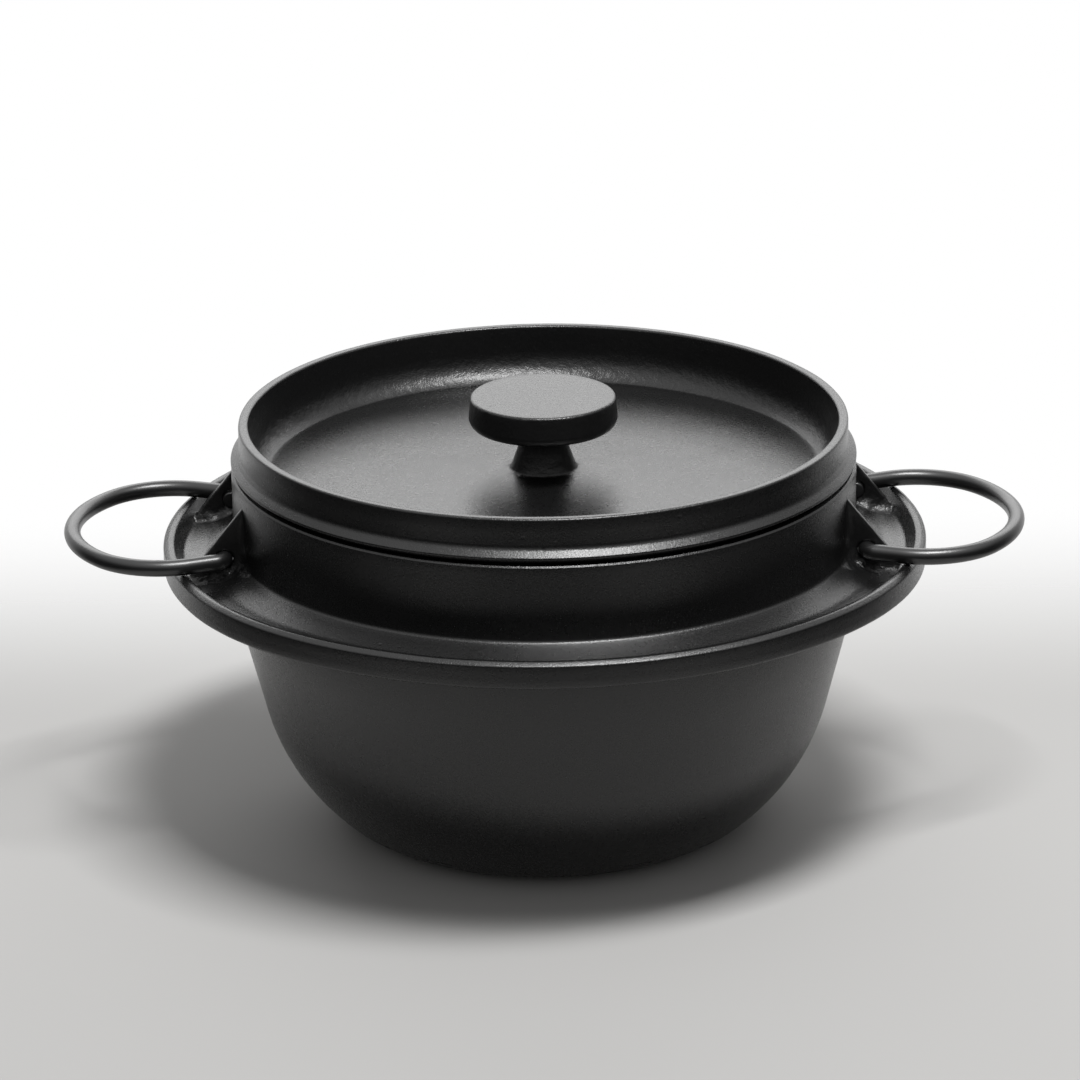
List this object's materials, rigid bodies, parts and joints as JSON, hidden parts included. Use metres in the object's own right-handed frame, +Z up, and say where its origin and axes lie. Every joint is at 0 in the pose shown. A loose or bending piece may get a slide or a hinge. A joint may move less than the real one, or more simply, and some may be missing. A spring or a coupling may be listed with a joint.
{
  "type": "rice pot",
  "caption": "Deep round cast pot with a wide drip flange below its collar, a dished lid with a disc knob, and a hinged round-bar ring handle on each side.",
  "frame": {"origin": "centre of the base's flat underside", "axes": "+Z up along the pot's axis, +X towards the right handle, +Y to the back"},
  "size_m": [0.321, 0.2548, 0.1472],
  "materials": {
    "cast_iron": "matt black, as cast, fine grained",
    "handle_steel": "satin black"
  },
  "bodies": {
    "vessel": {"pot": "cast_iron", "lid": "cast_iron"},
    "left_ring": {"left_handle": "handle_steel"},
    "right_ring": {"right_handle": "handle_steel"}
  },
  "joints": [
    {"name": "left_hinge", "type": "hinge", "parent": "vessel", "child": "left_ring", "pos_m": [-0.1058, 0, 0.10265], "axis": [0, 1, 0], "range_deg": [0, 98]},
    {"name": "right_hinge", "type": "hinge", "parent": "vessel", "child": "right_ring", "pos_m": [0.1058, 0, 0.10265], "axis": [0, -1, 0], "range_deg": [0, 98]}
  ]
}
